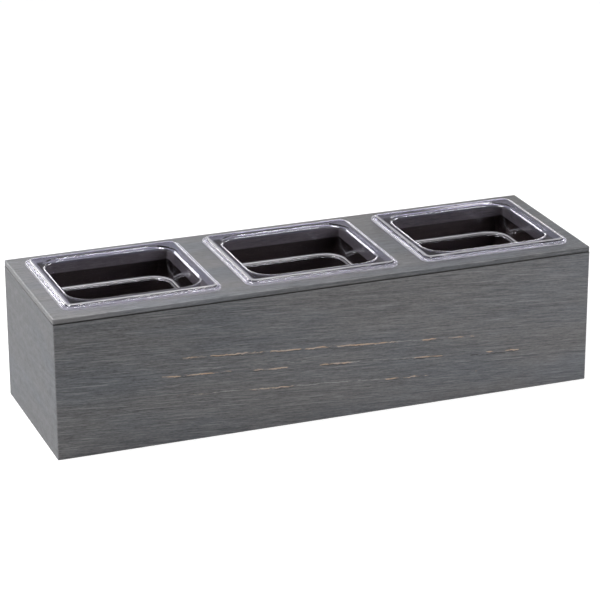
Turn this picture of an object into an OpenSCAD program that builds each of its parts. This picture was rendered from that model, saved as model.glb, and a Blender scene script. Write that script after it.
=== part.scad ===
// Countertop condiment caddy: a mitred wooden box whose top board carries three clear
// drop-in food pans in a row. Lengths are in millimetres. X runs along the row of pans,
// the front faces -Y, Z is up, and the origin is the middle of the underside.

/* [Pan rim] */
// Outer width of a pan's rim, along the row
pan_rim_w = 176; // [165:1:185]
// Outer depth of a pan's rim, front to back
pan_rim_d = 162; // [150:1:170]
// Height of the rim above the top board
rim_h = 5.5; // [5.3:0.1:7]
// Radius of the rim's outer corners, seen from above
rim_corner_r = 12; // [10:0.5:16]
// Width of the rim, from its outer face to the mouth
rim_land = 16; // [15:0.5:18]
// Width of the lower rolled edge round the outside of the rim
roll_w = 4.5; // [3.5:0.1:5]
// Drop from the flat part of the rim to the rolled edge
roll_drop = 2; // [1.2:0.1:2.2]
// Radius of the rolled edge's outer top
roll_r = 2; // [1:0.1:2.2]
// Thickness of the rim's turned-down lip
lip_t = 2.2; // [1.8:0.1:3]

/* [Pan body] */
// Depth of a pan, from the top of its rim to its underside
pan_depth = 100; // [65:1:140]
// Thickness of a pan's moulded walls
pan_wall = 2.5; // [2:0.1:3]
// Thickness of a pan's floor
pan_floor_t = 2.8; // [2.2:0.1:4]
// Radius of the mouth's corners, seen from above
mouth_corner_r = 26; // [25:0.5:34]
// Radius where the rim turns down into the mouth
mouth_edge_r = 5; // [3.5:0.1:5.5]
// Draft of the walls above the stacking shoulder, in degrees
upper_draft = 2.5; // [1:0.25:4]
// Drop from the top of the rim to the stacking shoulder
shoulder_drop = 35; // [24:0.5:44]
// Width of the stacking shoulder
shoulder_w = 4; // [3:0.25:5]
// Radius of the shoulder's edges
shoulder_r = 1.2; // [0.6:0.1:1.4]
// Draft of the walls below the shoulder, in degrees
lower_draft = 3.5; // [1:0.25:5]
// Radius where the walls meet the floor
floor_r = 9; // [6:0.5:11]

/* [Box] */
// Gap between the rims of two neighbouring pans
pan_gap = 27.5; // [20:0.5:50]
// Top board left between a rim and either end of the box
end_margin = 16.5; // [14:0.5:40]
// Top board left between a rim and the front or the back
side_margin = 16; // [14:0.5:40]
// Height of the box, from its underside to its top face
box_h = 159; // [125:1:220]
// Thickness of the four wall boards
wall_t = 12.7; // [10:0.1:15]
// Thickness of the base board
base_t = 6.35; // [5:0.05:9]
// Depth of the rebate in the walls that takes the base board's edge
base_rebate = 6; // [4:0.1:8]
// Chamfer that eases the boards' sharp edges
ease = 0.8; // [0.4:0.1:1.2]
// Gap round a board that drops into a rebate or inside the walls
fit_gap = 0.2; // [0.1:0.05:0.5]

/* [Top board] */
// Full thickness of the top board
top_t = 12.7; // [8.5:0.1:15]
// Height of its edge that shows above the walls
top_lip = 6.3; // [4.5:0.1:7.5]
// Radius of its upper edges
top_edge_r = 1.8; // [0.8:0.1:2.4]
// Radius of its corners, seen from above
top_corner_r = 2.2; // [1:0.1:4]
// Gap round a pan's body in its cut-out
pan_clearance = 1.5; // [0.6:0.1:2.5]
// Radius of a cut-out's corners, seen from above
cut_corner_r = 2; // [1:0.5:8]

/* [Corner blocks and screws] */
// Leg of a triangular corner block
block_leg = 18; // [14:0.5:22]
// Distance of a screw from both legs of its block
screw_inset = 6; // [5.5:0.1:6.4]
// Radius of a screw's shank
screw_r = 1.75; // [1.25:0.05:2]
// Radius of a screw's head
screw_head_r = 3.5; // [3:0.1:4]
// Height of a screw's countersunk head
screw_head_h = 2.4; // [2:0.1:3]
// Length of a screw
screw_len = 25; // [16:1:40]
// Gap round a screw in its hole
screw_gap = 0.05; // [0.02:0.01:0.1]

/* [Hidden] */

WOOD = "#74777b";
RAW_WOOD = "#5d564f";
CLEAR = "#cdd5e2";
STEEL = "#a9a7a2";

ROUND = 96; // segments of a full circle
ARC_STEPS = 4; // straight steps in a small rounded edge
FLOOR_STEPS = 6; // straight steps in the radius at a pan's floor
RIM_SLOPE = 45; // angle between the flat of the rim and the slope to its rolled edge
GRID = 0.001; // a swept section is rounded to this, so that runs and corners meet exactly

// Box
pan_pitch = pan_rim_w + pan_gap;
box_l = 3 * pan_rim_w + 2 * pan_gap + 2 * end_margin;
box_d = pan_rim_d + 2 * side_margin;
inside_l = box_l - 2 * wall_t;
inside_d = box_d - 2 * wall_t;
wall_h = box_h - top_lip;
top_underside = box_h - top_t;

// Pan: heights are above the top board's upper face, and u is measured outwards
mouth_w = pan_rim_w - 2 * rim_land;
mouth_d = pan_rim_d - 2 * rim_land;
roll_z = rim_h - roll_drop;
mouth_wall_top = rim_h - mouth_edge_r;
shoulder_z = rim_h - shoulder_drop;
pan_bottom_z = rim_h - pan_depth;
floor_z = pan_bottom_z + pan_floor_t;
shoulder_out_u = -(mouth_wall_top - shoulder_z) * tan(upper_draft);
shoulder_in_u = shoulder_out_u - shoulder_w;
floor_edge_u = shoulder_in_u - (shoulder_z - floor_z) * tan(lower_draft);
overlap = 1.5; // how far neighbouring pieces of one moulding run into each other
flat_start_u = floor_edge_u - floor_r - overlap;
land_meet = roll_w + roll_drop / 2 + overlap; // from the rim's outer face to where the flat land's plate begins

// Cut-outs in the top board
cut_grow = pan_wall + pan_clearance;
cut_w = mouth_w + 2 * cut_grow;
cut_d = mouth_d + 2 * cut_grow;

function unit(v) = v / norm(v);

// Points of the arc of radius r that rounds corner b between points a and c
function corner_arc(a, b, c, r, steps) =
    let (
        to_a = unit(a - b),
        to_c = unit(c - b),
        half = acos(to_a * to_c) / 2,
        centre = b + unit(to_a + to_c) * r / sin(half),
        first = b + to_a * r / tan(half) - centre,
        last = b + to_c * r / tan(half) - centre,
        swing = 180 - 2 * half
    )
    [for (i = [0:steps])
        centre + (first * sin(swing * (1 - i / steps)) + last * sin(swing * i / steps)) / sin(swing)];

// Closed outline from corners [x, y, radius, steps]; a corner with no radius stays sharp
function rounded(corners) =
    let (n = len(corners), flat = [for (c = corners) [c[0], c[1]]])
    [for (i = [0:n - 1])
        each is_undef(corners[i][2])
            ? [flat[i]]
            : corner_arc(flat[(i + n - 1) % n], flat[i], flat[(i + 1) % n], corners[i][2],
                         is_undef(corners[i][3]) ? ARC_STEPS : corners[i][3])];

// Plate with round corners, centred on the origin, from z = 0 up
module plate(w, d, r, t) {
    linear_extrude(t) {
        square([w - 2 * r, d], center = true);
        square([w, d - 2 * r], center = true);
        for (x = [-1, 1], y = [-1, 1])
            translate([x * (w / 2 - r), y * (d / 2 - r)])
                circle(r, $fn = ROUND);
    }
}

// Sweeps a section round a rectangle w by d with corners of radius r. The section's
// points are [u, z], with u measured outwards from the rectangle.
module sweep_round(w, d, r, section) {
    fine = [for (p = section) [round(p[0] / GRID) * GRID, round(p[1] / GRID) * GRID]];
    for (side = [0:3]) {
        reach = side % 2 == 0 ? w / 2 : d / 2;
        run = (side % 2 == 0 ? d : w) / 2 - r;
        rotate(90 * side) {
            translate([reach, run, 0])
                rotate([90, 0, 0])
                    linear_extrude(2 * run)
                        polygon(fine);
            translate([reach - r, run, 0])
                rotate_extrude(angle = 90, $fn = ROUND)
                    polygon([for (p = fine) [p[0] + r, p[1]]]);
        }
    }
}

// Wall, shoulder and floor radius of a pan, with the start of its rim and of its floor
function body_section() =
    let (
        skin = pan_wall,
        rim_end = mouth_edge_r + 2 * overlap,
        wall_slope = skin * tan(45 - lower_draft / 2)
    )
    rounded([
        [rim_end, rim_h],
        [0, rim_h, mouth_edge_r],
        [0, mouth_wall_top - mouth_edge_r / 2],
        [shoulder_out_u, shoulder_z, shoulder_r],
        [shoulder_in_u, shoulder_z, shoulder_r],
        [floor_edge_u, floor_z, floor_r, FLOOR_STEPS],
        [flat_start_u, floor_z],
        [flat_start_u, pan_bottom_z],
        [floor_edge_u + skin - pan_floor_t * tan(lower_draft), pan_bottom_z, floor_r + skin, FLOOR_STEPS],
        [shoulder_in_u + skin, shoulder_z - wall_slope, shoulder_r],
        [shoulder_out_u + skin, shoulder_z - wall_slope, shoulder_r],
        [skin, rim_h - skin, mouth_edge_r - skin],
        [rim_end, rim_h - skin],
    ]);

// Outer part of a pan's rim: the flat, the slope down to the rolled edge, and the lip
function rim_section() =
    let (
        half_step = roll_drop / 2,
        skin_shift = pan_wall * tan(RIM_SLOPE / 2),
        land_start = -land_meet - overlap / 2
    )
    rounded([
        [-lip_t, 0],
        [0, 0],
        [0, roll_z, roll_r],
        [-roll_w + half_step, roll_z, half_step],
        [-roll_w - half_step, rim_h, half_step],
        [land_start, rim_h],
        [land_start, rim_h - pan_wall],
        [-roll_w - half_step - skin_shift, rim_h - pan_wall],
        [-roll_w + half_step - skin_shift, roll_z - pan_wall],
        [-lip_t, roll_z - pan_wall],
    ]);

module pan() {
    color(CLEAR, 0.5)
        translate([0, 0, box_h]) {
            sweep_round(mouth_w, mouth_d, mouth_corner_r, body_section());
            sweep_round(pan_rim_w, pan_rim_d, rim_corner_r, rim_section());
            translate([0, 0, rim_h - pan_wall])
                difference() {
                    plate(pan_rim_w - 2 * land_meet, pan_rim_d - 2 * land_meet,
                          rim_corner_r - land_meet, pan_wall);
                    translate([0, 0, -pan_wall])
                        plate(mouth_w + 2 * (mouth_edge_r + overlap), mouth_d + 2 * (mouth_edge_r + overlap),
                              mouth_corner_r + mouth_edge_r + overlap, 3 * pan_wall);
                }
            translate([0, 0, pan_bottom_z])
                plate(mouth_w + 2 * (flat_start_u + overlap), mouth_d + 2 * (flat_start_u + overlap),
                      mouth_corner_r + flat_start_u + overlap, pan_floor_t);
        }
}

module left_pan() {
    translate([-pan_pitch, 0, 0]) pan();
}

module middle_pan() {
    pan();
}

module right_pan() {
    translate([pan_pitch, 0, 0]) pan();
}

// Wall board whose outer face stands at y = 0, mitred at both ends and rebated for the base
module wall_board(length) {
    end = length / 2;
    color(WOOD)
        intersection() {
            translate([-end, 0, 0])
                rotate([90, 0, 90])
                    linear_extrude(length)
                        polygon([
                            [ease, 0],
                            [wall_t - base_rebate, 0],
                            [wall_t - base_rebate, base_t],
                            [wall_t, base_t],
                            [wall_t, wall_h],
                            [ease, wall_h],
                            [0, wall_h - ease],
                            [0, ease],
                        ]);
            linear_extrude(wall_h)
                polygon([
                    [-end + ease, 0],
                    [end - ease, 0],
                    [end - ease / 2, ease / 2],
                    [end - wall_t, wall_t],
                    [-end + wall_t, wall_t],
                    [-end + ease / 2, ease / 2],
                ]);
        }
}

module front_board() {
    translate([0, -box_d / 2, 0]) wall_board(box_l);
}

module back_board() {
    rotate(180) front_board();
}

module right_end_board() {
    translate([box_l / 2, 0, 0]) rotate(90) wall_board(box_d);
}

module left_end_board() {
    rotate(180) right_end_board();
}

// Moves what it holds to the place of each screw that it is given, [x side, y side]
module at_screw(corner) {
    translate([
        corner[0] * (inside_l / 2 - screw_inset),
        corner[1] * (inside_d / 2 - screw_inset),
        0,
    ])
        children();
}

corners = [[-1, -1], [1, -1], [-1, 1], [1, 1]];

// Countersunk screw that points up from z = 0, grown by a gap all round and at its tip
module screw(gap) {
    rotate_extrude($fn = ROUND)
        polygon([
            [0, 0],
            [screw_head_r + gap, 0],
            [screw_r + gap, screw_head_h],
            [screw_r + gap, screw_len - screw_r],
            [0, screw_len + gap],
        ]);
}

module base_screws() {
    color(STEEL)
        for (corner = corners)
            at_screw(corner) screw(0);
}

module base_board() {
    reach = base_rebate - fit_gap;
    color(RAW_WOOD)
        difference() {
            translate([-inside_l / 2 - reach, -inside_d / 2 - reach, 0])
                cube([inside_l + 2 * reach, inside_d + 2 * reach, base_t]);
            for (corner = corners)
                at_screw(corner) screw(screw_gap);
        }
}

// Triangular block glued into one corner of the box, between the base and the top board
module corner_block(corner) {
    color(RAW_WOOD)
        difference() {
            translate([corner[0] * inside_l / 2, corner[1] * inside_d / 2, base_t])
                linear_extrude(top_underside - base_t)
                    polygon([[0, 0], [-corner[0] * block_leg, 0], [0, -corner[1] * block_leg]]);
            at_screw(corner) screw(screw_gap);
        }
}

module front_left_block() {
    corner_block(corners[0]);
}

module front_right_block() {
    corner_block(corners[1]);
}

module back_left_block() {
    corner_block(corners[2]);
}

module back_right_block() {
    corner_block(corners[3]);
}

// Cross-section of the part of the top board that shows, rounded above and eased below
module top_edge_profile(span, length) {
    translate([-length / 2, 0, wall_h])
        rotate([90, 0, 90])
            linear_extrude(length)
                polygon(rounded([
                    [-span / 2, 0, ease, 1],
                    [span / 2, 0, ease, 1],
                    [span / 2, top_lip, top_edge_r],
                    [-span / 2, top_lip, top_edge_r],
                ]));
}

module top_board() {
    color(WOOD)
        difference() {
            union() {
                intersection() {
                    top_edge_profile(box_d, box_l);
                    rotate(90) top_edge_profile(box_l, box_d);
                    translate([0, 0, wall_h]) plate(box_l, box_d, top_corner_r, top_lip);
                }
                translate([-inside_l / 2 + fit_gap, -inside_d / 2 + fit_gap, top_underside])
                    cube([inside_l - 2 * fit_gap, inside_d - 2 * fit_gap, top_t - top_lip / 2]);
            }
            for (i = [-1:1])
                translate([i * pan_pitch, 0, top_underside - top_t])
                    plate(cut_w, cut_d, cut_corner_r, 3 * top_t);
        }
}

front_board();
back_board();
left_end_board();
right_end_board();
base_board();
top_board();
front_left_block();
front_right_block();
back_left_block();
back_right_block();
base_screws();
left_pan();
middle_pan();
right_pan();
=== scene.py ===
# A countertop caddy: a grey-washed wooden box whose top board carries three clear drop-in pans.
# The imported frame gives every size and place; this script gives the finish.
import math

import bpy
import bmesh
from mathutils import Matrix, Vector


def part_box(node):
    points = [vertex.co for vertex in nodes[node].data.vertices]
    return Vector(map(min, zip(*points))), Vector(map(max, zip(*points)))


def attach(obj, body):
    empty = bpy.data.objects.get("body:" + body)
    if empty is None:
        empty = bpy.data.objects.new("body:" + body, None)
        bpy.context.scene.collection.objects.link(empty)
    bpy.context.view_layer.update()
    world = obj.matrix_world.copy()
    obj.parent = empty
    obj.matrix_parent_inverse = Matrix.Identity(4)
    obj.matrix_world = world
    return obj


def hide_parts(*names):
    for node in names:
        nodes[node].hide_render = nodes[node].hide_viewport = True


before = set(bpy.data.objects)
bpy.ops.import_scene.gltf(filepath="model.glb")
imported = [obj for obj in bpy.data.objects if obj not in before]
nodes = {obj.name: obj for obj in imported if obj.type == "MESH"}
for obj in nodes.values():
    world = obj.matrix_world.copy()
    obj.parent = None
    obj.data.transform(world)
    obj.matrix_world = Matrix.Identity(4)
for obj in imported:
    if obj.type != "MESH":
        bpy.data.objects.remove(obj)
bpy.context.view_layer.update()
scene = bpy.context.scene

mm = 0.001
touching = 0.001 * mm  # points nearer than this become one
nudge = 0.0001  # keeps a division that comes out whole from rounding down
white = (1, 1, 1, 1)
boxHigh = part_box("top_board")[1]
boxHalfLength, boxHalfDepth, boxTop = boxHigh.x, boxHigh.y, boxHigh.z
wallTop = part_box("front_board")[1].z


class Wire:
    # a socket that takes arithmetic
    def __init__(self, recipe, socket):
        self.recipe, self.socket = recipe, socket

    def maths(self, operation, *rest):
        return self.recipe.node("ShaderNodeMath", {"operation": operation}, [self, *rest])

    def __add__(self, other):
        return self.maths("ADD", other)

    def __sub__(self, other):
        return self.maths("SUBTRACT", other)

    def __mul__(self, other):
        return self.maths("MULTIPLY", other)

    def __truediv__(self, other):
        return self.maths("DIVIDE", other)

    def __mod__(self, other):
        return self.maths("FLOORED_MODULO", other)

    def __rsub__(self, other):
        return self.recipe.node("ShaderNodeMath", {"operation": "SUBTRACT"}, [other, self])

    __radd__ = __add__
    __rmul__ = __mul__

    def size(self):
        return self.maths("ABSOLUTE")

    def whole(self):
        return self.maths("FLOOR")

    def least(self, other):
        return self.maths("MINIMUM", other)

    def most(self, other):
        return self.maths("MAXIMUM", other)

    def above(self, other):
        return self.maths("GREATER_THAN", other)

    def ramp(self, start, end, low=0.0, high=1.0):
        # goes smoothly from low at start to high at end
        return self.recipe.node("ShaderNodeMapRange", {"interpolation_type": "SMOOTHSTEP"}, {
            "Value": self, "From Min": start, "From Max": end, "To Min": low, "To Max": high})


class Recipe:
    # builds the nodes of one tree
    def __init__(self, tree):
        self.tree = tree

    def node(self, kind, settings=None, sockets=None, out=0):
        made = self.tree.nodes.new(kind)
        for key, value in (settings or {}).items():
            if key == "stops":
                setStops(made.color_ramp, value)
            else:
                setattr(made, key, value)
        pairs = sockets.items() if isinstance(sockets, dict) else enumerate(sockets or [])
        for key, value in pairs:
            self.plug(made.inputs[key], value)
        return Wire(self, made.outputs[out]) if made.outputs else made

    def plug(self, socket, value):
        if isinstance(value, Wire):
            self.tree.links.new(value.socket, socket)
        elif isinstance(value, list):
            for one in value:
                self.plug(socket, one)
        else:
            socket.default_value = value

    def out(self, wire, name):
        return Wire(self, wire.socket.node.outputs[name])

    def mix(self, factor, first, second):
        sockets = {0: factor, 6: first, 7: second}  # the colour sockets share their names with others
        return self.node("ShaderNodeMix", {"data_type": "RGBA"}, sockets, out=2)

    def scale(self, colour, factor):
        return self.node("ShaderNodeVectorMath", {"operation": "SCALE"}, {0: colour, "Scale": factor})

    def vector(self, x, y, z):
        return self.node("ShaderNodeCombineXYZ", {}, [x, y, z])


def setStops(ramp, stops):
    while len(ramp.elements) < len(stops):
        ramp.elements.new(1.0)
    for element, (place, colour) in zip(ramp.elements, stops):
        element.position = place
        element.color = colour


def newMaterial(name):
    material = bpy.data.materials.new(name)
    material.use_nodes = True
    material.node_tree.nodes.clear()
    return material, Recipe(material.node_tree)


camera = {
    "place": (-0.948, -2.492, 1.119),
    "turn": -20.85,  # degrees; below 0 it looks to the right of straight ahead
    "tilt": 20.85,  # degrees down
    "roll": -0.17,
    "lens": 154.5,
    "sensor": 36.0,
    "nearest": 0.05,
    "furthest": 50.0,
}


def makeCamera(size):
    data = bpy.data.cameras.new("camera")
    data.sensor_width = data.sensor_height = size["sensor"]
    data.lens = size["lens"]
    data.clip_start = size["nearest"]
    data.clip_end = size["furthest"]
    thing = bpy.data.objects.new("camera", data)
    scene.collection.objects.link(thing)
    turn, tilt, roll = (math.radians(size[key]) for key in ("turn", "tilt", "roll"))
    spin = Matrix.Rotation(turn, 4, "Z") @ Matrix.Rotation(math.pi / 2 - tilt, 4, "X")
    spin = spin @ Matrix.Rotation(roll, 4, "Z")
    thing.matrix_world = Matrix.Translation(size["place"]) @ spin
    scene.camera = thing


makeCamera(camera)
print("camera set")

studio = {
    "floorSize": 14.0,
    "floorColour": (0.9, 0.9, 0.9, 1),
    "floorGlow": 0.5,  # share of the floor, as seen, that no shadow takes away
    "glowStrength": 1.6,
    "horizon": 1.0,  # the surroundings' brightness as seen, level with the floor
    "overhead": 0.12,  # and high up
    "dimming": (0.05, 0.35),  # from where up and up to where it dims; straight up is 1
    "ambient": 0.05,  # what the surroundings give as light
    "lamps": [
        # name, place, what it points at, width, depth, watts
        ("leftBox", (-0.8, 0.05, 1.25), (-0.25, 0, 0.1), 0.45, 0.45, 12.5),
        ("backBox", (-0.8, 1.9, 1.05), (0, 0, 0.15), 0.5, 0.5, 6),
        ("backRight", (0.9, 1.1, 0.9), (0.2, 0, 0.15), 0.3, 0.3, 0.5),
        ("cornerBox", (-0.55, -0.15, 1), (-0.4, -0.05, 0.16), 0.3, 0.3, 2.4),
        ("topStrip", (0.42, 0, 2.1), (0.42, 0, 0), 0.65, 0.3, 11),
        ("leftLow", (-1.05, 1.85, 0.5), (-0.2, 0, 0.16), 0.7, 0.6, 5),
        ("lowStrip", (1.1, 2, 0.35), (0, 0, 0.16), 1.0, 0.14, 2.2),
        ("rightFill", (1.9, 0.12, 0.34), (0.3, 0.05, 0.1), 0.9, 0.5, 10),
        ("frontStrip", (0.75, -1.2, 0.6), (0.3, 0, 0.08), 1.1, 0.2, 7),
    ],
}


def seenDirectly(r):
    # 1 for camera, mirror and see-through rays, 0 for the rays that light things
    path = r.node("ShaderNodeLightPath", out="Is Camera Ray")
    return path.most(r.out(path, "Is Glossy Ray")).most(r.out(path, "Is Transmission Ray"))


def makeFloor(size):
    half = size["floorSize"] / 2
    corners = [(-half, -half, 0), (half, -half, 0), (half, half, 0), (-half, half, 0)]
    mesh = bpy.data.meshes.new("floor")
    mesh.from_pydata(corners, [], [(0, 1, 2, 3)])
    floor = bpy.data.objects.new("floor", mesh)
    scene.collection.objects.link(floor)
    material, r = newMaterial("floor_white")
    dull = r.node("ShaderNodeBsdfDiffuse", {}, {"Color": size["floorColour"]})
    glow = r.node("ShaderNodeEmission", {}, {"Color": white, "Strength": size["glowStrength"]})
    shade = r.node("ShaderNodeMixShader", {}, [seenDirectly(r) * size["floorGlow"], dull, glow])
    r.node("ShaderNodeOutputMaterial", {}, {"Surface": shade})
    mesh.materials.append(material)


def makeWorld(size):
    world = bpy.data.worlds.new("studio")
    world.use_nodes = True
    world.node_tree.nodes.clear()
    r = Recipe(world.node_tree)
    direction = r.node("ShaderNodeSeparateXYZ", {}, [r.node("ShaderNodeTexCoord", out="Generated")])
    shown = r.out(direction, "Z").ramp(*size["dimming"], size["horizon"], size["overhead"])
    seen = seenDirectly(r)
    strength = shown * seen + (1 - seen) * size["ambient"]
    back = r.node("ShaderNodeBackground", {}, {"Color": white, "Strength": strength})
    r.node("ShaderNodeOutputWorld", {}, {"Surface": back})
    scene.world = world


def makeLamps(size):
    for name, place, target, width, depth, watts in size["lamps"]:
        data = bpy.data.lights.new(name, "AREA")
        data.shape = "RECTANGLE"
        data.size = width
        data.size_y = depth
        data.energy = watts
        lamp = bpy.data.objects.new(name, data)
        lamp.location = place
        lamp.rotation_euler = (Vector(target) - Vector(place)).to_track_quat("-Z", "Y").to_euler()
        scene.collection.objects.link(lamp)


makeFloor(studio)
makeWorld(studio)
makeLamps(studio)
scene.view_settings.view_transform = "Standard"
print("studio ready")


def plainMesh(thing, name):
    # the modifiers' result as a mesh of its own
    graph = bpy.context.evaluated_depsgraph_get()
    mesh = bpy.data.meshes.new_from_object(thing.evaluated_get(graph))
    mesh.name = name
    bpy.data.objects.remove(thing)
    return mesh


def runTree(tree, mesh, inputs):
    thing = bpy.data.objects.new("maker", mesh)
    scene.collection.objects.link(thing)
    modifier = thing.modifiers.new("maker", "NODES")
    modifier.node_group = tree
    for item in tree.interface.items_tree:
        if item.item_type == "SOCKET" and item.in_out == "INPUT" and item.name in inputs:
            modifier[item.identifier] = inputs[item.name]
    return thing


def newTree(name, sizes, counts):
    # a tree from geometry to geometry; gives it with its first input and the others by their labels
    tree = bpy.data.node_groups.new(name, "GeometryNodeTree")
    kinds = {**dict.fromkeys(sizes, "Float"), **dict.fromkeys(counts, "Int"), "Finish": "Material"}
    for label, kind in {"Geometry": "Geometry", **kinds}.items():
        tree.interface.new_socket(label, in_out="INPUT", socket_type="NodeSocket" + kind)
    tree.interface.new_socket("Geometry", in_out="OUTPUT", socket_type="NodeSocketGeometry")
    r = Recipe(tree)
    source = r.node("NodeGroupInput")
    return tree, r, source, {label: r.out(source, label) for label in kinds}


def newGrid(r, rows, perRow):
    # a grid with, for each of its points, the row and the place in it
    grid = r.node("GeometryNodeMeshGrid", {}, {
        "Size X": 1.0, "Size Y": 1.0, "Vertices X": rows, "Vertices Y": perRow})
    index = r.node("GeometryNodeInputIndex")
    row = (index / perRow + nudge).whole()
    return grid, row, index - row * perRow


def closeAndTurnOut(mesh):
    # fills the open ends and points every face outwards
    work = bmesh.new()
    work.from_mesh(mesh)
    rims = [edge for edge in work.edges if edge.is_boundary]
    bmesh.ops.holes_fill(work, edges=rims, sides=0)
    bmesh.ops.recalc_face_normals(work, faces=work.faces)
    work.to_mesh(mesh)
    work.free()


def wholePiece(thing, name):
    # what the modifiers make of the thing, as a closed piece
    mesh = plainMesh(thing, name)
    closeAndTurnOut(mesh)
    piece = bpy.data.objects.new(name, mesh)
    scene.collection.objects.link(piece)
    return piece


pan = {
    "rimLand": 16 * mm,  # from the rim's outer face to the mouth
    "rimCorner": 12 * mm,
    "mouthCorner": 26 * mm,
    "rollWidth": 4.5 * mm,  # the lower rolled edge round the outside
    "rollDrop": 2 * mm,
    "rollEdge": 2 * mm,
    "lip": 2.2 * mm,  # thickness of the edge that turns down to the board
    "wall": 2.5 * mm,
    "floor": 2.8 * mm,
    "mouthEdge": 5 * mm,
    "throatDrop": 7.5 * mm,  # how far below the rim the wall bends gently to its draft
    "throatEdge": 12 * mm,
    "upperDraft": 2.5,  # degrees
    "shoulderDrop": 35 * mm,
    "shoulderWidth": 4 * mm,
    "shoulderEdge": 1.2 * mm,
    "lowerDraft": 3.5,
    "floorEdge": 9 * mm,
    "floorSpare": 1.5 * mm,  # of flat floor that the section takes in
    "stepEdge": 3 * mm,  # rounds the slope between the flat and the rolled edge
    "footEdge": 1.05 * mm,  # rounds the lip's lower end
    "smallEdge": 0.5 * mm,
    "hold": 0.3 * mm,  # extra edges this far from each bend keep the flats flat
    "cornerHold": 0.9 * mm,
    "arcSteps": 6,
    "cornerSteps": 18,
    # how frosted each edge is, from 0 to 1: partly rubbing wear, partly a painted highlight, the whitish
    # frosting standing in for the bright lines that clear edges catch
    "rubsAndHighlights": {"shoulderIn": 0.25, "shoulderOut": 0.55, "step": 0.38, "roll": 0.15, "foot": 1},
}


def roundedOutline(corners, steps, hold):
    # corners are [u, z, radius, plan, rubbed]; gives points [u, z, plan, rubbed] with an arc at each corner
    points = []
    last = len(corners) - 1
    for i, (u, z, radius, plan, rubbed) in enumerate(corners):
        here = Vector((u, z))
        if i in (0, last) or radius == 0:
            points.append((u, z, plan, rubbed))
            continue
        before = (Vector(corners[i - 1][:2]) - here).normalized()
        after = (Vector(corners[i + 1][:2]) - here).normalized()
        half = before.angle(after) / 2
        middle = here + (before + after).normalized() * radius / math.sin(half)
        reach = radius / math.tan(half)
        first, end = here + before * reach - middle, here + after * reach - middle
        swing = math.pi - 2 * half
        arc = []
        for k in range(steps + 1):
            reached = first * math.sin(swing * (1 - k / steps)) + end * math.sin(swing * k / steps)
            arc.append(reached / math.sin(swing) + middle)
        points.append((*(arc[0] + before * hold), plan, 0))
        points += [(p.x, p.y, plan, rubbed) for p in arc]
        points.append((*(arc[-1] + after * hold), plan, 0))
    return points


def panSection(size, rimHeight, depth):
    # from the floor inside, up the wall, over the rim and down the outside to the underside;
    # u goes outwards from the mouth and z up from the top board
    wall, small, rubsAndHighlights = size["wall"], size["smallEdge"], size["rubsAndHighlights"]
    shoulderEdge, stepEdge, footEdge = size["shoulderEdge"], size["stepEdge"], size["footEdge"]
    rimU = size["rimLand"]
    rollU = rimU - size["rollWidth"]
    rollZ = rimHeight - size["rollDrop"]
    half = size["rollDrop"] / 2  # the step slopes at 45 degrees
    lipU = rimU - size["lip"]
    shoulderZ = rimHeight - size["shoulderDrop"]
    underZ = rimHeight - depth
    floorZ = underZ + size["floor"]
    lowerTan = math.tan(math.radians(size["lowerDraft"]))
    upperDrop = rimHeight - size["mouthEdge"] - shoulderZ
    outU = -upperDrop * math.tan(math.radians(size["upperDraft"]))
    inU = outU - size["shoulderWidth"]
    floorU = inU - (shoulderZ - floorZ) * lowerTan
    startU = floorU - size["floorEdge"] - size["floorSpare"]
    # the outside's bends lie this far past the inside's, so that the wall stays even
    past = wall * math.tan(math.radians(45 / 2))
    below = wall * math.tan(math.radians(45 - size["lowerDraft"] / 2))
    # the radius of the corners in plan, at u = 0
    body = size["mouthCorner"]
    rim = size["rimCorner"] - size["rimLand"]
    corners = [
        (startU, floorZ, 0, body, 0),
        (floorU, floorZ, size["floorEdge"], body, 0),
        (inU, shoulderZ, shoulderEdge, body, rubsAndHighlights["shoulderIn"]),
        (outU, shoulderZ, shoulderEdge, body, rubsAndHighlights["shoulderOut"]),
        (0, rimHeight - size["throatDrop"], size["throatEdge"], body, 0),
        (0, rimHeight, size["mouthEdge"], body, 0),
        (rollU - half, rimHeight, stepEdge, rim, rubsAndHighlights["step"]),
        (rollU + half, rollZ, stepEdge, rim, 0),
        (rimU, rollZ, size["rollEdge"], rim, rubsAndHighlights["roll"]),
        (rimU, 0, footEdge, rim, rubsAndHighlights["foot"]),
        (lipU, 0, footEdge, rim, rubsAndHighlights["foot"]),
        (lipU, rollZ - wall, small / 2, rim, 0),
        (rollU + half + past, rollZ - wall, small, rim, 0),
        (rollU - half + past, rimHeight - wall, small, rim, 0),
        (wall, rimHeight - wall, size["mouthEdge"] - wall, body, 0),
        (outU + wall, shoulderZ - below, shoulderEdge, body, 0),
        (inU + wall, shoulderZ - below, shoulderEdge, body, 0),
        (floorU + wall - size["floor"] * lowerTan, underZ, size["floorEdge"] + wall, body, 0),
        (startU, underZ, 0, body, 0),
    ]
    return roundedOutline(corners, size["arcSteps"], size["hold"])


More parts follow.
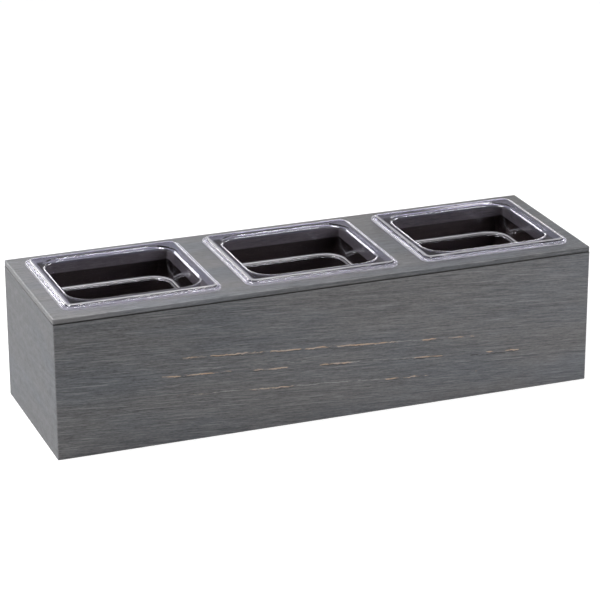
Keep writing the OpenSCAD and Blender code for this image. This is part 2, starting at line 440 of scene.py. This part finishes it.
def sweptRimTree(name):
    # sweeps the section, held as bare points of the object's mesh, round a rectangle with round corners
    sizes = ["Half Width", "Half Depth", "Place X", "Hold"]
    tree, r, section, given = newTree(name, sizes, ["Corner Steps"])
    points = r.node("GeometryNodeAttributeDomainSize", {"component": "MESH"}, [section])
    steps = given["Corner Steps"]
    perCorner = steps + 3.0  # the arc's points and a held one at either side
    grid, row, column = newGrid(r, points, perCorner * 4.0 + 1.0)
    corner = (column / perCorner + nudge).whole()
    step = column - corner * perCorner - 1.0
    bent = step.most(0.0).least(steps)
    slide = (step - bent) * given["Hold"]
    angle = (corner + bent / steps) * (math.pi / 2)
    middle = (corner + 0.5) * (math.pi / 2)

    def sampled(kind, value):
        return r.node("GeometryNodeSampleIndex", {"domain": "POINT", "data_type": kind}, {
            "Geometry": section, "Value": value, "Index": row})

    def marked(label):
        mark = r.node("GeometryNodeInputNamedAttribute", {"data_type": "FLOAT"}, {"Name": label})
        return sampled("FLOAT", mark)

    place = sampled("FLOAT_VECTOR", r.node("GeometryNodeInputPosition"))
    outward = r.node("ShaderNodeSeparateXYZ", {}, [place])
    height = r.out(outward, "Z")
    radius = marked("plan") + outward
    cosine, sine = angle.maths("COSINE"), angle.maths("SINE")
    sideX, sideY = middle.maths("COSINE").maths("SIGN"), middle.maths("SINE").maths("SIGN")
    x = sideX * (given["Half Width"] + outward - radius) + radius * cosine - slide * sine + given["Place X"]
    y = sideY * (given["Half Depth"] + outward - radius) + radius * sine + slide * cosine
    moved = r.node("GeometryNodeSetPosition", {}, {"Geometry": grid, "Position": r.vector(x, y, height)})
    kept = r.node("GeometryNodeStoreNamedAttribute", {"data_type": "FLOAT", "domain": "POINT"}, {
        "Geometry": moved, "Name": "rubbed", "Value": marked("rubbed")})
    merged = r.node("GeometryNodeMergeByDistance", {}, {"Geometry": kept, "Distance": touching})
    smooth = r.node("GeometryNodeSetShadeSmooth", {}, [merged])
    real = r.node("GeometryNodeRealizeInstances", {}, [smooth])
    painted = r.node("GeometryNodeSetMaterial", {}, {"Geometry": real, "Material": given["Finish"]})
    r.node("NodeGroupOutput", {}, [painted])
    return tree


def makePan(name, node, body, size, tree, finish):
    low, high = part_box(node)
    outline = panSection(size, high.z - boxTop, high.z - low.z)
    mesh = bpy.data.meshes.new("section")
    mesh.from_pydata([(u, 0, boxTop + z) for u, z, _, _ in outline], [], [])
    for column, label in ((2, "plan"), (3, "rubbed")):
        values = [point[column] for point in outline]
        mesh.attributes.new(label, "FLOAT", "POINT").data.foreach_set("value", values)
    thing = runTree(tree, mesh, {
        "Half Width": (high.x - low.x) / 2 - size["rimLand"],
        "Half Depth": (high.y - low.y) / 2 - size["rimLand"],
        "Place X": (low.x + high.x) / 2,
        "Hold": size["cornerHold"],
        "Corner Steps": size["cornerSteps"],
        "Finish": finish,
    })
    piece = wholePiece(thing, name)
    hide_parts(node)
    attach(piece, body)


# a cut is the stretch of a pattern's values over which one look goes over into the next
plastic = {
    "tint": (0.86, 0.84, 0.96, 1),  # what two faces of the moulding leave of the light
    "through": (0.955, 0.95, 0.985, 1),
    "index": 1.585,  # of refraction
    "scuffScale": 90.0,
    "scuffCut": (0.35, 0.7),
    "roughness": (0.01, 0.03),  # where it is smooth and where it is scuffed
    "frosting": (0.88, 0.87, 0.92, 1),  # where the moulding's edges are rubbed; this whitish colour also paints the bright highlight lines along the foot, step and shoulder
    "frostRoughness": 0.35,
    "patchScale": 160.0,
    "patchCut": (0.3, 0.5),
    "patchStrength": (0.85, 1.0),
}


def clearPlastic(name, look):
    material, r = newMaterial(name)
    place = r.node("ShaderNodeTexCoord", out="Object")
    scuffs = r.node("ShaderNodeTexNoise", {}, {"Vector": place, "Scale": look["scuffScale"], "Detail": 3.0})
    solid = r.node("ShaderNodeBsdfPrincipled", {}, {
        "Base Color": look["tint"], "Roughness": scuffs.ramp(*look["scuffCut"], *look["roughness"]),
        "IOR": look["index"], "Transmission Weight": 1.0})
    # the edges that get rubbed are frosted, and the frosting paints their bright highlight lines
    mark = r.node("ShaderNodeAttribute", {"attribute_name": "rubbed"}, out="Fac")
    patches = r.node("ShaderNodeTexNoise", {}, {
        "Vector": place, "Scale": look["patchScale"], "Detail": 2.0})
    frost = mark * patches.ramp(*look["patchCut"], *look["patchStrength"])
    frosted = r.node("ShaderNodeBsdfPrincipled", {}, {
        "Base Color": look["frosting"], "Roughness": look["frostRoughness"]})
    moulding = r.node("ShaderNodeMixShader", {}, [frost, solid, frosted])
    # lamps and bounced light go straight through, so that what the pan hangs in is lit
    through = r.node("ShaderNodeBsdfTransparent", {}, {"Color": look["through"]})
    path = r.node("ShaderNodeLightPath", out="Is Shadow Ray")
    lit = path.most(r.out(path, "Is Diffuse Ray"))
    surface = r.node("ShaderNodeMixShader", {}, [lit, moulding, through])
    r.node("ShaderNodeOutputMaterial", {}, {"Surface": surface})
    return material


clear = clearPlastic("clear_plastic", plastic)
sweep = sweptRimTree("sweptPan")
for side in ("left", "middle", "right"):
    makePan("clear_pan_" + side, side + "_pan", "lift_out_" + side, pan, sweep, clear)
print("pans made")


# each line on the front board: height in the grain, then stretches (from, to, strength) along it, in mm
wornLines = [
    (84, [(-172, -142, 0.75), (-138, -78, 1), (-69, -35, 1), (-29, 70, 1), (110, 128, 1), (139, 167, 0.4)]),
    (64, [(-183, -117, 1), (-86, -54, 1), (-29, -21, 0.35), (-11, 17, 1), (70, 93, 0.35), (101, 127, 1),
          (160, 178, 0.35), (186, 220, 0.8)]),
    (41.5, [(-190, -132, 0.3), (-92, -44, 1), (61, 82, 0.9), (84, 118, 0.9), (148, 168, 0.35)]),
]
grazedLines = [
    (42, [(-132, 62, 1)]),
    (64.3, [(17, 101, 0.9)]),
    (84.3, [(-142, -30, 0.8), (70, 112, 0.9)]),
    (70, [(-150, -20, 0.7)]),
]
crackLines = [
    (61.3, [(168, 218, 1)]),
    (82.6, [(-130, -80, 0.6), (20, 70, 0.5)]),
    (62.4, [(-180, -120, 0.6), (100, 127, 0.6)]),
]

# the figures in the wood: repeats in a metre along and across the grain, detail, roughness and a seed
figures = {
    "sway": (2.2, 9.0, 2.0, 0.5, 3.1),
    "bands": (5.0, 18.0, 3.0, 0.55, 11.0),
    "streaks": (6.0, 190.0, 3.0, 0.65, 5.0),
    "dashes": (55.0, 900.0, 2.0, 0.75, 7.0),
    "fibres": (200.0, 1300.0, 2.0, 0.6, 13.0),
    "blotches": (70.0, 130.0, 4.0, 0.7, 19.0),
    "speckle": (420.0, 420.0, 2.0, 0.6, 37.0),
    "lines": (18.0, 900.0, 2.0, 0.55, 23.0),
    "pores": (24.0, 900.0, 2.0, 0.55, 57.0),
    "ragged": (70.0, 500.0, 3.0, 0.6, 31.0),
    "wander": (45.0, 60.0, 3.0, 0.65, 43.0),
    "flakes": (150.0, 150.0, 2.0, 0.65, 47.0),
}
wood = {
    "cool": (0.150, 0.157, 0.173, 1),
    "warm": (0.171, 0.168, 0.172, 1),
    "dark": (0.050, 0.055, 0.064, 1),
    "light": (0.30, 0.30, 0.31, 1),
    "hidden": (0.040, 0.030, 0.024),  # the faces that don't show outside
    "roughness": 0.45,
    "roughSpread": 0.2,
    "sheen": 0.35,
    "tilt": 0.0,  # how far the grain falls along the board
    "shift": 0.0,  # gives each board a grain of its own
    "tone": 1.0,  # brightness at the board's middle; set per board partly as painted light and shade, lower where the lamps fall less
    "paintedLightDrift": 0.0,  # painted light: what it gains in a metre along the grain, a lighting gradient laid into the colour
    "paintedEdgeShade": 1.0,  # painted shade: brightness of the front and back edges against the rest
    "mottled": 0.2,  # strength of the blotches
    "speckled": 0.25,
    "grained": 1.0,  # strength of all the long figures together; each has its own below
    "streaks": 0.6,
    "dashes": 1.1,
    "fibres": 0.9,
    "lines": 0.5,
    "pores": 0.4,
    "bandCut": (0.35, 0.65),
    "lineCut": (0.57, 0.63),
    "poreCut": (0.59, 0.66),
    "swing": 6 * mm,  # how far the grain sways
    "relief": 0.5 * mm,
    "reliefStrength": 0.4,
    "reliefShares": (0.4, 0.5, 0.3, -0.5),  # of the streaks, dashes, fibres and lines
    "top": None,  # height of the upper face of a board that lies flat
    "worn": (),
    "grazed": (),
    "cracks": (),
}
endWood = {
    **wood,
    "cool": (0.142, 0.154, 0.178, 1),
    "warm": (0.163, 0.165, 0.178, 1),
    "sheen": 0.25,
    "tone": 0.74,
    "grained": 0.1,
    "mottled": 0.85,
    "speckled": 0.475,
}
rawWood = {
    **wood,
    "cool": (0.115, 0.082, 0.056, 1),
    "warm": (0.150, 0.108, 0.070, 1),
    "dark": (0.045, 0.034, 0.026, 1),
    "light": (0.21, 0.175, 0.135, 1),
    "hidden": (0.060, 0.045, 0.036),
    "roughness": 0.7,
    "sheen": 0.25,
}
# grain names the axes along, across and into the grain
boards = {
    # painted shade and light: the front board is darker than its twin at the back and lightens to the right
    "front_board": {**wood, "name": "wood_front", "grain": "xzy", "tilt": 0.07, "tone": 0.765,
                    "paintedLightDrift": 0.38, "worn": wornLines, "grazed": grazedLines, "cracks": crackLines},
    "back_board": {**wood, "name": "wood_back", "grain": "xzy", "tilt": -0.02, "shift": 40.0,
                   "worn": wornLines[2:], "cracks": crackLines[:1]},
    "left_end_board": {**endWood, "name": "wood_left", "grain": "yzx", "tilt": 0.03, "shift": 80.0},
    "right_end_board": {**endWood, "name": "wood_right", "grain": "yzx", "tilt": -0.03, "shift": 120.0},
    # painted light and shade: the top board lightens to the left and its front and back faces are darkened
    "top_board": {**wood, "name": "wood_top", "grain": "xyz", "tilt": 0.01, "shift": 160.0, "top": boxTop,
                  "tone": 0.93, "paintedLightDrift": -0.75, "paintedEdgeShade": 0.78, "hidden": (0.150, 0.138, 0.132)},
    "base_board": {**rawWood, "name": "raw_base", "grain": "xyz", "tilt": 0.02, "shift": 200.0, "top": 0.0},
}
blockWood = {**rawWood, "name": "raw_blocks", "grain": "zxy", "shift": 240.0}
wearAndPaintedShade = {
    # colour of each mark, and how much of the wood's own it hides; the cracks, grazes, pale edges and bare
    # wood are wear, the shadow and the seam are painted shade
    "crack": ((0.030, 0.031, 0.034, 1), 0.75),
    "grazed": ((0.36, 0.355, 0.35, 1), 0.55),
    "shadow": ((0.030, 0.031, 0.034, 1), 0.55),  # below a worn line
    "pale": ((0.42, 0.42, 0.43, 1), 0.35),  # on rubbed edges
    "seam": ((0.012, 0.012, 0.012, 1), 0.85),  # painted shadow in the seam under the top board
    "bare": (0.52, 0.355, 0.235, 1),
    "blanched": (0.50, 0.41, 0.345, 1),
    "bareCover": 0.9,
    "lineReach": 0.8 * mm,  # to either side of a line's middle
    "bareReach": 1.0 * mm,
    "shadowDrop": 1.5 * mm,
    "softness": 0.6,  # share of its reach over which a line thins out
    "fade": 10,  # how far a line takes to fade out at its ends, in mm
    "gapStrength": 0.1,  # where two stretches nearly meet
    "breakUp": 0.22,  # how much more a weak stretch breaks up
    "breakCut": (0.41, 0.54),
    "blanchCut": (0.42, 0.6),
    "onset": 8.0,  # how soon a stretch has its full width
    "wander": 3.0 * mm,  # how far a line strays from straight
    "flakes": 2.6 * mm,
    "edgeWander": 2.0 * mm,
    # distances over which each of these goes from nothing to full
    "edgeShadeFall": (0.5 * mm, 0.2 * mm),
    "sideFall": (4 * mm, 2 * mm),
    "topFall": (2.5 * mm, 1.0 * mm),
    "arrisFall": (1.4 * mm, 0.2 * mm),
    "seamFall": (1.3 * mm, 0.6 * mm),
}


def lineStops(stretches):
    # the strength along a board as a ramp's stops, from one end of the board to the other
    fade = wearAndPaintedShade["fade"]
    stops = []
    for k, (start, end, strength) in enumerate(stretches):
        before = stretches[k - 1][1] if k else None
        if before is None or start - before > 2 * fade:
            stops.append((start - fade, 0))
        stops += [(start, strength), (end, strength)]
        after = stretches[k + 1][0] if k + 1 < len(stretches) else None
        if after is None or after - end > 2 * fade:
            stops.append((end + fade, 0))
        else:
            stops.append(((end + after) / 2, wearAndPaintedShade["gapStrength"]))
    return [((place * mm + boxHalfLength) / (2 * boxHalfLength), (v, v, v, 1)) for place, v in stops]


def boardFinish(look):
    material, r = newMaterial(look["name"])
    split = r.node("ShaderNodeSeparateXYZ", {}, [r.node("ShaderNodeTexCoord", out="Object")])
    axes = {"x": split, "y": r.out(split, "Y"), "z": r.out(split, "Z")}
    along, across, deep = (axes[letter] for letter in look["grain"])
    across = across + along * look["tilt"]

    def figure(kind, lane=0.0):
        longways, crossways, detail, rough, seed = figures[kind]
        start = look["shift"] + seed
        spot = r.vector(along * longways + start, (across + lane) * crossways, deep * crossways)
        return r.node("ShaderNodeTexNoise", {}, {
            "Vector": spot, "Scale": 1.0, "Detail": detail, "Roughness": rough})

    def around(pattern, strength):
        # a pattern about its middle, so that it lightens as much as it darkens
        return (pattern - 0.5) * strength

    sway = around(figure("sway"), look["swing"])
    bands, streaks, dashes, fibres, blotches = (
        figure(kind, sway) for kind in ("bands", "streaks", "dashes", "fibres", "blotches"))
    lengthways = (around(streaks, look["streaks"]) + around(dashes, look["dashes"])
                  + around(fibres, look["fibres"]))
    spots = around(blotches, look["mottled"])
    specks = around(figure("speckle"), look["speckled"])
    # the tone holds the grain, random blotches and specks, and the painted light gradient along the board
    tone = lengthways * look["grained"] + spots + specks + (along * look["paintedLightDrift"] + look["tone"])
    # painted shade on the top board's front and back faces
    if look["paintedEdgeShade"] != 1.0:
        faceGap = boxHalfDepth - axes["y"].size()
        tone = tone * faceGap.ramp(*wearAndPaintedShade["edgeShadeFall"], 1.0, look["paintedEdgeShade"])
    colour = r.scale(r.mix(bands.ramp(*look["bandCut"]), look["cool"], look["warm"]), tone)
    lines = figure("lines", sway).ramp(*look["lineCut"])
    pores = figure("pores", sway).ramp(*look["poreCut"])
    colour = r.mix(lines * (look["lines"] * look["grained"]), colour, look["dark"])
    colour = r.mix(pores * (look["pores"] * look["grained"]), colour, look["light"])

    ragged = figure("ragged")
    wobble = around(figure("wander"), wearAndPaintedShade["wander"]) + around(figure("flakes"), wearAndPaintedShade["flakes"])
    station = (along + boxHalfLength) / (2 * boxHalfLength)

    def drawn(rows, reach, lower=0.0):
        # 1 on the lines of the rows, ragged and broken, 0 elsewhere
        mask = 0.0
        for height, stretches in rows:
            strength = r.node("ShaderNodeValToRGB", {"stops": lineStops(stretches)}, [station])
            away = (across + wobble - (height * mm - lower)).size()
            near = ((reach - away) / (reach * wearAndPaintedShade["softness"])).least(1.0).most(0.0)
            cover = ((strength - 1.0) * wearAndPaintedShade["breakUp"] + ragged).ramp(*wearAndPaintedShade["breakCut"])
            mask = (near * cover * (strength * wearAndPaintedShade["onset"]).least(1.0)).most(mask)
        return mask

    def marked(under, kind, mask):
        tint, hides = wearAndPaintedShade[kind]
        return r.mix(mask * hides, under, tint)

    if look["cracks"]:
        colour = marked(colour, "crack", drawn(look["cracks"], wearAndPaintedShade["lineReach"]))
    if look["grazed"]:
        colour = marked(colour, "grazed", drawn(look["grazed"], wearAndPaintedShade["lineReach"]))
    if look["worn"]:
        colour = marked(colour, "shadow", drawn(look["worn"], wearAndPaintedShade["lineReach"], wearAndPaintedShade["shadowDrop"]))
        bare = r.mix(dashes.ramp(*wearAndPaintedShade["blanchCut"]), wearAndPaintedShade["bare"], wearAndPaintedShade["blanched"])
        colour = r.mix(drawn(look["worn"], wearAndPaintedShade["bareReach"]) * wearAndPaintedShade["bareCover"], colour, bare)

    gapX = boxHalfLength - axes["x"].size()
    gapY = boxHalfDepth - axes["y"].size()
    gapTop = (wallTop if look["top"] is None else look["top"]) - axes["z"]
    outer = gapX.least(gapY).ramp(*wearAndPaintedShade["sideFall"])
    if look["top"] is not None:
        outer = outer.most(gapTop.ramp(*wearAndPaintedShade["topFall"]))
    colour = r.mix(outer, r.scale(look["hidden"], tone), colour)

    # the middle one of the three gaps is small only near an edge
    arris = gapX.least(gapY).most(gapX.most(gapY).least(gapTop.least(axes["z"])))
    rubbed = (arris + around(ragged, wearAndPaintedShade["edgeWander"])).ramp(*wearAndPaintedShade["arrisFall"])
    colour = marked(colour, "pale", rubbed)
    # painted shadow: the wall tops darkened in a thin band just under the top board, where the seam's shade
    # falls
    colour = marked(colour, "seam", (axes["z"] - wallTop).size().ramp(*wearAndPaintedShade["seamFall"]) * outer)

    shares = look["reliefShares"]
    height = streaks * shares[0] + dashes * shares[1] + fibres * shares[2] + lines * shares[3]
    bump = r.node("ShaderNodeBump", {}, {
        "Strength": look["reliefStrength"], "Distance": look["relief"], "Height": height * look["grained"]})
    shader = r.node("ShaderNodeBsdfPrincipled", {}, {
        "Base Color": colour, "Roughness": around(streaks, look["roughSpread"]) + look["roughness"],
        "Specular IOR Level": look["sheen"], "Normal": bump})
    r.node("ShaderNodeOutputMaterial", {}, {"Surface": shader})
    return material


def dress(node, material):
    mesh = nodes[node].data
    mesh.materials.clear()
    mesh.materials.append(material)


for node, look in boards.items():
    dress(node, boardFinish(look))
print("boards finished")

blockFinish = boardFinish(blockWood)
for corner in ("front_left", "front_right", "back_left", "back_right"):
    dress(corner + "_block", blockFinish)
print("blocks finished")


screw = {
    "headRadius": 3.5 * mm,
    "headHeight": 2.4 * mm,
    "shankRadius": 1.75 * mm,
    "pitch": 1.4 * mm,
    "threadDepth": 0.35 * mm,
    "point": 2.8 * mm,  # length of the tapered point
    "recessLength": 4.2 * mm,
    "recessWidth": 0.9 * mm,
    "recessDepth": 1.5 * mm,
    "stepsPerTurn": 6,
    "sides": 24,
    "headSides": 48,
}


def screwTree(name):
    # one countersunk screw with a cross recess and a thread, set on each point of the object's mesh
    sizes = ["Head Radius", "Head Height", "Shank Radius", "Length", "Pitch", "Thread Depth", "Point",
             "Recess Length", "Recess Width", "Recess Depth"]
    tree, r, spots, given = newTree(name, sizes, ["Rows", "Sides", "Head Sides"])
    shank, length = given["Shank Radius"], given["Length"]
    cut = r.node("GeometryNodeMeshCone", {}, {
        "Vertices": given["Head Sides"], "Radius Top": shank,
        "Radius Bottom": given["Head Radius"], "Depth": given["Head Height"]})
    armLong, armWide, armDeep = given["Recess Length"], given["Recess Width"], given["Recess Depth"] * 2.0
    deeper = armDeep * 1.04  # so that the two arms share no face
    for arm in (r.vector(armLong, armWide, armDeep), r.vector(armWide, armLong, deeper)):
        bar = r.node("GeometryNodeMeshCube", {}, {"Size": arm})
        cut = r.node("GeometryNodeMeshBoolean", {"operation": "DIFFERENCE", "solver": "EXACT"}, {
            "Mesh 1": cut, "Mesh 2": bar})
    rows, sides = given["Rows"], given["Sides"]
    grid, row, column = newGrid(r, rows, sides + 1.0)
    turn = column / sides
    last = rows - 1.0
    start = given["Head Height"] * 0.5  # the thread starts inside the head
    way = ((row - 1.0) / (last - 2.0)).most(0.0).least(1.0)
    height = start + (length - start) * way
    phase = ((height / given["Pitch"] - turn) % 1.0 - 0.5).size() * 2.0
    taper = ((length - height) / given["Point"]).least(1.0)
    capped = row.above(0.5) * (last - row).above(0.5)  # the first and the last row close the ends
    radius = (shank - given["Thread Depth"] * phase) * taper * capped
    angle = turn * (2 * math.pi)
    spot = r.vector(radius * angle.maths("COSINE"), radius * angle.maths("SINE"), height)
    moved = r.node("GeometryNodeSetPosition", {}, {"Geometry": grid, "Position": spot})
    thread = r.node("GeometryNodeMergeByDistance", {}, {"Geometry": moved, "Distance": touching})
    whole = r.node("GeometryNodeJoinGeometry", {}, {"Geometry": [cut, thread]})
    placed = r.node("GeometryNodeInstanceOnPoints", {}, {"Points": spots, "Instance": whole})
    real = r.node("GeometryNodeRealizeInstances", {}, [placed])
    painted = r.node("GeometryNodeSetMaterial", {}, {"Geometry": real, "Material": given["Finish"]})
    r.node("NodeGroupOutput", {}, [painted])
    return tree


zinc = {
    "dull": (0.40, 0.395, 0.38, 1),
    "bright": (0.56, 0.56, 0.55, 1),
    "cloudScale": 900.0,
    "colourCut": (0.35, 0.7),
    "roughCut": (0.3, 0.7),
    "roughness": (0.28, 0.42),
    "relief": 0.1 * mm,
    "reliefStrength": 0.2,
}


def zincSteel(name, look):
    material, r = newMaterial(name)
    place = r.node("ShaderNodeTexCoord", out="Object")
    cloud = r.node("ShaderNodeTexNoise", {}, {"Vector": place, "Scale": look["cloudScale"], "Detail": 3.0})
    colour = r.mix(cloud.ramp(*look["colourCut"]), look["dull"], look["bright"])
    bump = r.node("ShaderNodeBump", {}, {
        "Strength": look["reliefStrength"], "Distance": look["relief"], "Height": cloud})
    roughness = cloud.ramp(*look["roughCut"], *look["roughness"])
    shader = r.node("ShaderNodeBsdfPrincipled", {}, {
        "Base Color": colour, "Metallic": 1.0, "Roughness": roughness, "Normal": bump})
    r.node("ShaderNodeOutputMaterial", {}, {"Surface": shader})
    return material


def makeScrews(node, body, size, finish):
    low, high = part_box(node)
    placeX, placeY = high.x - size["headRadius"], high.y - size["headRadius"]
    mesh = bpy.data.meshes.new("spots")
    mesh.from_pydata([(x * placeX, y * placeY, low.z) for x in (-1, 1) for y in (-1, 1)], [], [])
    thing = runTree(screwTree("crossScrew"), mesh, {
        "Head Radius": size["headRadius"],
        "Head Height": size["headHeight"],
        "Shank Radius": size["shankRadius"],
        "Length": high.z - low.z,
        "Pitch": size["pitch"],
        "Thread Depth": size["threadDepth"],
        "Point": size["point"],
        "Recess Length": size["recessLength"],
        "Recess Width": size["recessWidth"],
        "Recess Depth": size["recessDepth"],
        "Rows": int((high.z - low.z) / size["pitch"]) * size["stepsPerTurn"],
        "Sides": size["sides"],
        "Head Sides": size["headSides"],
        "Finish": finish,
    })
    piece = wholePiece(thing, "cross_screws")
    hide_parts(node)
    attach(piece, body)


makeScrews("base_screws", "caddy_box", screw, zincSteel("zinc_steel", zinc))
print("screws made")
